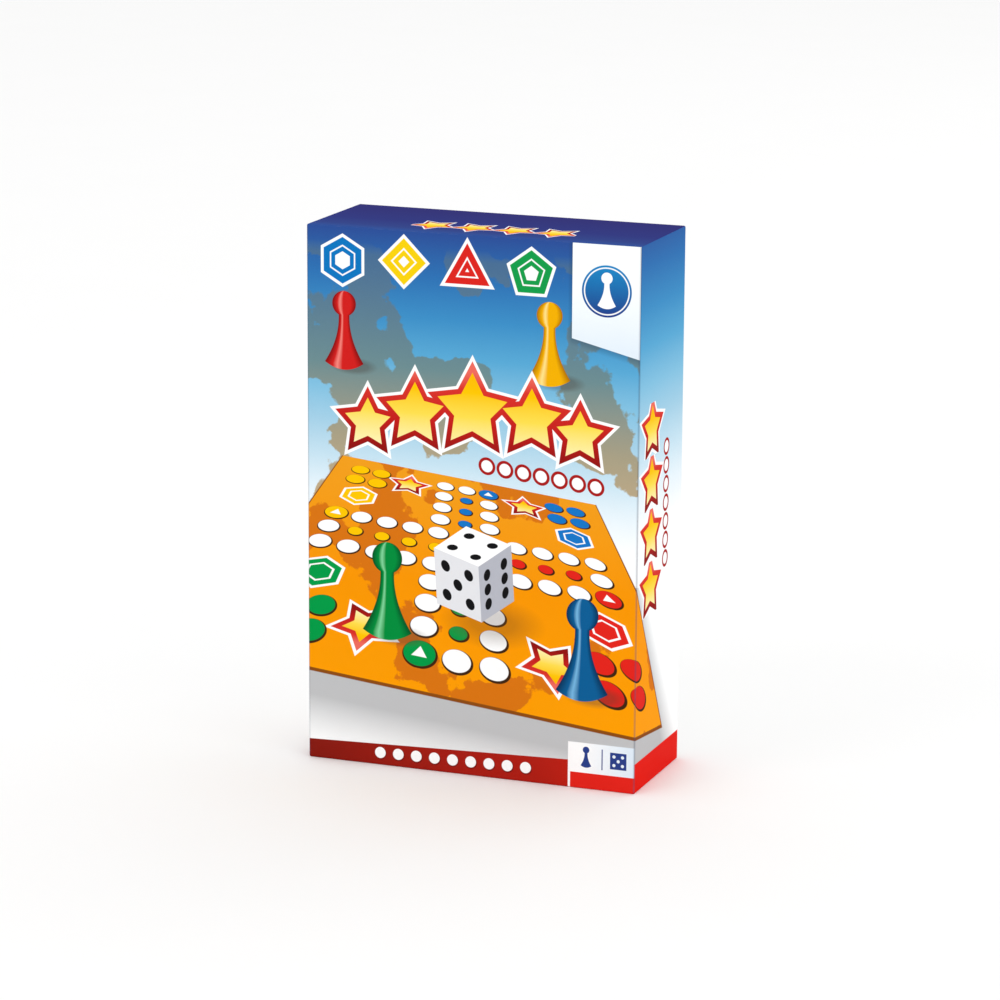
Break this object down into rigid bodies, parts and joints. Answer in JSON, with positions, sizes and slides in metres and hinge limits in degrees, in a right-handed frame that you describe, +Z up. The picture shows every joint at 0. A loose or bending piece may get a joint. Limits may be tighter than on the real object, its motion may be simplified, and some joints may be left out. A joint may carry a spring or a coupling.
{
  "type": "travel ludo game",
  "caption": "Small upright two-piece game box, a lid over a base, that holds a formed tray with pawns and a die, a rules sheet and a folding game board.",
  "frame": {"origin": "middle of the footprint of the standing closed box, at the floor", "axes": "+Z up along the box's height, -Y out of its printed front, +X to the right of someone who faces the front"},
  "size_m": [0.118, 0.046, 0.185],
  "materials": {
    "greyboard": "uncoated grey chipboard",
    "cover_print": "printed paper with a gloss film",
    "plain_wrap": "white coated paper",
    "stay_tape": "gummed paper tape",
    "tray_plastic": "thin white formed sheet",
    "rules_print": "uncoated white paper",
    "board_card": "uncoated grey chipboard",
    "board_print": "printed paper with a gloss film",
    "board_lining": "coloured lining paper",
    "die_plastic": "polished white plastic with black pips",
    "pawn_red": "glossy moulded plastic",
    "pawn_yellow": "glossy moulded plastic",
    "pawn_green": "glossy moulded plastic",
    "pawn_blue": "glossy moulded plastic"
  },
  "bodies": {
    "base": {"base_board": "greyboard", "base_wrap": "plain_wrap", "base_corner_stays": "stay_tape"},
    "lid": {"lid_board": "greyboard", "lid_wrap": "cover_print", "lid_corner_stays": "stay_tape"},
    "tray": {"piece_tray": "tray_plastic"},
    "rules": {"rules_sheet": "rules_print"},
    "board_back": {"board_back_panel": "board_card", "board_back_face": "board_print", "board_back_lining": "board_lining"},
    "board_front": {"board_front_panel": "board_card", "board_front_face": "board_print", "board_front_lining": "board_lining"},
    "die": {"die": "die_plastic"},
    "pawn_red_1": {"pawn_red_1": "pawn_red"},
    "pawn_red_2": {"pawn_red_2": "pawn_red"},
    "pawn_red_3": {"pawn_red_3": "pawn_red"},
    "pawn_red_4": {"pawn_red_4": "pawn_red"},
    "pawn_yellow_1": {"pawn_yellow_1": "pawn_yellow"},
    "pawn_yellow_2": {"pawn_yellow_2": "pawn_yellow"},
    "pawn_yellow_3": {"pawn_yellow_3": "pawn_yellow"},
    "pawn_yellow_4": {"pawn_yellow_4": "pawn_yellow"},
    "pawn_green_1": {"pawn_green_1": "pawn_green"},
    "pawn_green_2": {"pawn_green_2": "pawn_green"},
    "pawn_green_3": {"pawn_green_3": "pawn_green"},
    "pawn_green_4": {"pawn_green_4": "pawn_green"},
    "pawn_blue_1": {"pawn_blue_1": "pawn_blue"},
    "pawn_blue_2": {"pawn_blue_2": "pawn_blue"},
    "pawn_blue_3": {"pawn_blue_3": "pawn_blue"},
    "pawn_blue_4": {"pawn_blue_4": "pawn_blue"}
  },
  "joints": [
    {"name": "lid_lift", "type": "slide", "parent": "base", "child": "lid", "axis": [0, -1, 0], "range_m": [0, 0.4]},
    {"name": "tray_lift", "type": "slide", "parent": "base", "child": "tray", "axis": [0, -1, 0], "range_m": [0, 0.044]},
    {"name": "rules_lift", "type": "slide", "parent": "base", "child": "rules", "axis": [0, -1, 0], "range_m": [0, 0.084]},
    {"name": "board_lift", "type": "slide", "parent": "base", "child": "board_back", "axis": [0, -1, 0], "range_m": [0, 0.1]},
    {"name": "die_lift", "type": "slide", "parent": "tray", "child": "die", "axis": [0, -1, 0], "range_m": [0, 0.032]},
    {"name": "pawn_red_1_lift", "type": "slide", "parent": "tray", "child": "pawn_red_1", "axis": [0, -1, 0], "range_m": [0, 0.032]},
    {"name": "pawn_red_2_lift", "type": "slide", "parent": "tray", "child": "pawn_red_2", "axis": [0, -1, 0], "range_m": [0, 0.032]},
    {"name": "pawn_red_3_lift", "type": "slide", "parent": "tray", "child": "pawn_red_3", "axis": [0, -1, 0], "range_m": [0, 0.032]},
    {"name": "pawn_red_4_lift", "type": "slide", "parent": "tray", "child": "pawn_red_4", "axis": [0, -1, 0], "range_m": [0, 0.032]},
    {"name": "pawn_yellow_1_lift", "type": "slide", "parent": "tray", "child": "pawn_yellow_1", "axis": [0, -1, 0], "range_m": [0, 0.032]},
    {"name": "pawn_yellow_2_lift", "type": "slide", "parent": "tray", "child": "pawn_yellow_2", "axis": [0, -1, 0], "range_m": [0, 0.032]},
    {"name": "pawn_yellow_3_lift", "type": "slide", "parent": "tray", "child": "pawn_yellow_3", "axis": [0, -1, 0], "range_m": [0, 0.032]},
    {"name": "pawn_yellow_4_lift", "type": "slide", "parent": "tray", "child": "pawn_yellow_4", "axis": [0, -1, 0], "range_m": [0, 0.032]},
    {"name": "pawn_green_1_lift", "type": "slide", "parent": "tray", "child": "pawn_green_1", "axis": [0, -1, 0], "range_m": [0, 0.032]},
    {"name": "pawn_green_2_lift", "type": "slide", "parent": "tray", "child": "pawn_green_2", "axis": [0, -1, 0], "range_m": [0, 0.032]},
    {"name": "pawn_green_3_lift", "type": "slide", "parent": "tray", "child": "pawn_green_3", "axis": [0, -1, 0], "range_m": [0, 0.032]},
    {"name": "pawn_green_4_lift", "type": "slide", "parent": "tray", "child": "pawn_green_4", "axis": [0, -1, 0], "range_m": [0, 0.032]},
    {"name": "pawn_blue_1_lift", "type": "slide", "parent": "tray", "child": "pawn_blue_1", "axis": [0, -1, 0], "range_m": [0, 0.032]},
    {"name": "pawn_blue_2_lift", "type": "slide", "parent": "tray", "child": "pawn_blue_2", "axis": [0, -1, 0], "range_m": [0, 0.032]},
    {"name": "pawn_blue_3_lift", "type": "slide", "parent": "tray", "child": "pawn_blue_3", "axis": [0, -1, 0], "range_m": [0, 0.032]},
    {"name": "pawn_blue_4_lift", "type": "slide", "parent": "tray", "child": "pawn_blue_4", "axis": [0, -1, 0], "range_m": [0, 0.032]},
    {"name": "board_unfold", "type": "hinge", "parent": "board_back", "child": "board_front", "pos_m": [-0.0549, -0.0188, 0.0925], "axis": [0, 0, -1], "range_deg": [0, 180]}
  ],
  "couplings": [
    {"joint": "tray_lift", "follows": "lid_lift", "ratio": 0.11},
    {"joint": "rules_lift", "follows": "lid_lift", "ratio": 0.21},
    {"joint": "board_lift", "follows": "lid_lift", "ratio": 0.25},
    {"joint": "die_lift", "follows": "lid_lift", "ratio": 0.08},
    {"joint": "pawn_red_1_lift", "follows": "lid_lift", "ratio": 0.08},
    {"joint": "pawn_red_2_lift", "follows": "lid_lift", "ratio": 0.08},
    {"joint": "pawn_red_3_lift", "follows": "lid_lift", "ratio": 0.08},
    {"joint": "pawn_red_4_lift", "follows": "lid_lift", "ratio": 0.08},
    {"joint": "pawn_yellow_1_lift", "follows": "lid_lift", "ratio": 0.08},
    {"joint": "pawn_yellow_2_lift", "follows": "lid_lift", "ratio": 0.08},
    {"joint": "pawn_yellow_3_lift", "follows": "lid_lift", "ratio": 0.08},
    {"joint": "pawn_yellow_4_lift", "follows": "lid_lift", "ratio": 0.08},
    {"joint": "pawn_green_1_lift", "follows": "lid_lift", "ratio": 0.08},
    {"joint": "pawn_green_2_lift", "follows": "lid_lift", "ratio": 0.08},
    {"joint": "pawn_green_3_lift", "follows": "lid_lift", "ratio": 0.08},
    {"joint": "pawn_green_4_lift", "follows": "lid_lift", "ratio": 0.08},
    {"joint": "pawn_blue_1_lift", "follows": "lid_lift", "ratio": 0.08},
    {"joint": "pawn_blue_2_lift", "follows": "lid_lift", "ratio": 0.08},
    {"joint": "pawn_blue_3_lift", "follows": "lid_lift", "ratio": 0.08},
    {"joint": "pawn_blue_4_lift", "follows": "lid_lift", "ratio": 0.08},
    {"joint": "board_unfold", "follows": "lid_lift", "rad_per_m": 7.854}
  ]
}
